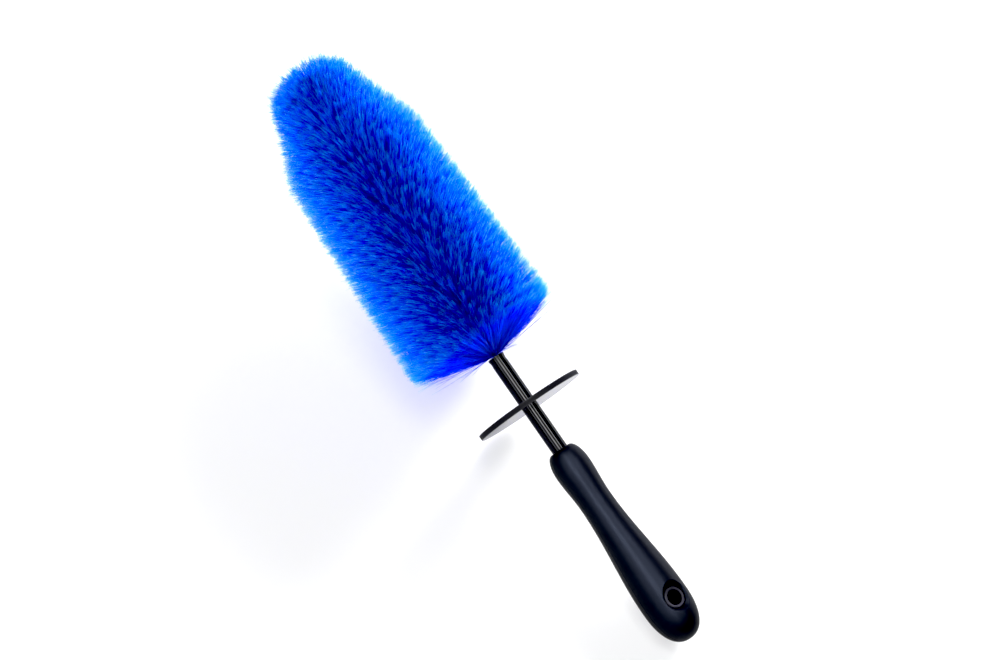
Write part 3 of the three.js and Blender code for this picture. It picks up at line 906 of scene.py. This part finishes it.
def add_camera():
    data = bpy.data.cameras.new("camera")
    camera = bpy.data.objects.new("camera", data)
    bpy.context.scene.collection.objects.link(camera)
    bpy.context.scene.camera = camera
    guard = brush.at(AIM_STATION)
    back = view_direction()
    right, up = picture_axes(back)
    middle = guard - GUARD_RIGHT * MM * right + GUARD_BELOW * MM * up
    camera.location = middle + CAMERA_DISTANCE * back
    camera.matrix_world = Matrix((
        (right.x, up.x, back.x, camera.location.x),
        (right.y, up.y, back.y, camera.location.y),
        (right.z, up.z, back.z, camera.location.z),
        (0, 0, 0, 1),
    ))
    data.sensor_width = SENSOR_WIDTH
    data.lens = SENSOR_WIDTH * CAMERA_DISTANCE / (PICTURE_WIDTH * MM)
    data.clip_start, data.clip_end = 0.01, 100


LIGHT_DISTANCE = 3.0
LIGHT_STATION = GUARD_STATION + 40  # near the middle of the brush's length
STRIP_LENGTH, STRIP_SHIFT = 3.9, 0.9
WORLD_SOFT, WORLD_GLOSS = 0.1, 0.03
GLOW_SEEN, GLOW_MATT, GLOW_GLOSS = 0.62, 9.0, 0.3  # of the floor, to the camera, matt and gloss
FLOOR_REACH, FLOOR_CELLS = 7.0, 8
BLACK_LEVEL, WHITE_LEVEL = 0.013, 0.96


def add_area(name, direction, size, radiance, seen_by):
    """A rectangular light that faces the brush, with its first side along the brush's axis."""
    data = bpy.data.lights.new(name, "AREA")
    data.shape = "RECTANGLE"
    data.size, data.size_y = size
    data.energy = radiance * math.pi * size[0] * size[1]
    light = bpy.data.objects.new(name, data)
    bpy.context.scene.collection.objects.link(light)
    x_axis = (brush.axis - brush.axis.dot(direction) * direction).normalized()
    y_axis = direction.cross(x_axis)
    place = brush.at(LIGHT_STATION) + LIGHT_DISTANCE * direction
    light.matrix_world = Matrix((
        (x_axis.x, y_axis.x, direction.x, place.x),
        (x_axis.y, y_axis.y, direction.y, place.y),
        (x_axis.z, y_axis.z, direction.z, place.z),
        (0, 0, 0, 1),
    ))
    light.visible_diffuse = seen_by == "matt"
    light.visible_transmission = seen_by == "matt"
    light.visible_glossy = seen_by == "gloss"
    return light


def around_view(angle):
    """A direction square to the brush, at an angle from the view direction that is positive towards the
    picture's right."""
    back = view_direction()
    along = (brush.axis - brush.axis.dot(back) * back).normalized()
    across = (-back).cross(along)
    turn = math.radians(angle)
    return (back * math.cos(turn) + across * math.sin(turn)).normalized()


def leaned_to_tip(angle):
    """A direction in the plane of the brush's axis and the view, leaned from the view towards the tip."""
    back = view_direction()
    along = (brush.axis - brush.axis.dot(back) * back).normalized()
    turn = math.radians(angle)
    return (back * math.cos(turn) + along * math.sin(turn)).normalized()


def add_strip(name, angle, width, radiance):
    """A long light that only gloss shows. It reaches further past the tip than past the butt."""
    light = add_area(name, around_view(angle), (STRIP_LENGTH, width), radiance, "gloss")
    light.location += STRIP_SHIFT * brush.axis


def add_world():
    """White behind the brush, soft all round, and dark to gloss, so that the strips are what gloss shows."""
    world = bpy.data.worlds.new("studio")
    bpy.context.scene.world = world
    world.use_nodes = True
    tree = world.node_tree
    tree.nodes.clear()

    def background(colour, strength):
        made = tree.nodes.new("ShaderNodeBackground")
        made.inputs["Color"].default_value = (*colour, 1)
        made.inputs["Strength"].default_value = strength
        return made.outputs["Background"]

    def choose(ray_is, otherwise, then):
        mix = tree.nodes.new("ShaderNodeMixShader")
        tree.links.new(ray.outputs[ray_is], mix.inputs["Fac"])
        tree.links.new(otherwise, mix.inputs[1])
        tree.links.new(then, mix.inputs[2])
        return mix.outputs["Shader"]

    ray = tree.nodes.new("ShaderNodeLightPath")
    soft = background((0.97, 0.98, 1.0), WORLD_SOFT)
    glossy = choose("Is Glossy Ray", soft, background((0.8, 0.87, 1.0), WORLD_GLOSS))
    seen = choose("Is Camera Ray", glossy, background((0.98, 0.98, 0.985), 1.0))
    output = tree.nodes.new("ShaderNodeOutputWorld")
    tree.links.new(seen, output.inputs["Surface"])


def add_floor():
    edge = np.linspace(-FLOOR_REACH, FLOOR_REACH, FLOOR_CELLS + 1)
    verts = [(x, y, 0.0) for x in edge for y in edge]
    row = FLOOR_CELLS + 1
    faces = [
        (i * row + j, (i + 1) * row + j, (i + 1) * row + j + 1, i * row + j + 1)
        for i in range(FLOOR_CELLS) for j in range(FLOOR_CELLS)
    ]
    floor = make_object("floor", verts, faces, smooth_angle=None)
    floor.data.materials.append(floor_look())


add_camera()
add_world()
add_floor()
add_strip("strip_left", -30, 0.42, 15)
add_strip("strip_middle", 3, 0.42, 52)
add_strip("strip_right", 38, 0.42, 33)
add_strip("strip_wide", 14, 2.6, 0.1)
add_strip("strip_edge", 108, 0.8, 6.0)
add_area("end", leaned_to_tip(65), (1.5, 1.5), 12.0, "gloss")
add_area("key", leaned_to_tip(10), (1.5, 1.5), 4.6, "matt")
add_area("fill", (around_view(45) + leaned_to_tip(45)).normalized(), (1.2, 1.2), 11.0, "matt")
add_area("base", leaned_to_tip(-60), (1.5, 1.5), 3.5, "matt")
add_area("side", (around_view(113) + 0.5 * leaned_to_tip(88)).normalized(), (1.6, 1.6), 80.0, "matt")
view = bpy.context.scene.view_settings
view.view_transform = "Standard"
view.use_curve_mapping = True
view.curve_mapping.black_level = (BLACK_LEVEL,) * 3
view.curve_mapping.white_level = (WHITE_LEVEL,) * 3

dress(grip_sleeve(), soft_grip_look(), "brush", "soft_grip", "grip_sleeve")
dress(eyelet(), eyelet_look(), "brush", "eyelet", "hang_hole_eyelet")
dress(stem_sleeve(), sleeve_look(), "brush", "stem_sleeve", "stem_sleeve")
dress(splash_guard(), guard_look(), "guard", "splash_guard", "splash_guard")
add_bristles(filament_look())
repaint("handle_core", plain_plastic_look("hard_core", (0.012, 0.013, 0.017), (0.022, 0.023, 0.03)))
repaint("tip_cap", plain_plastic_look("tip_cap", (0.012, 0.012, 0.014), (0.024, 0.024, 0.028)))
wire = wire_look()
repaint("core_wire_a", wire)
repaint("core_wire_b", wire)
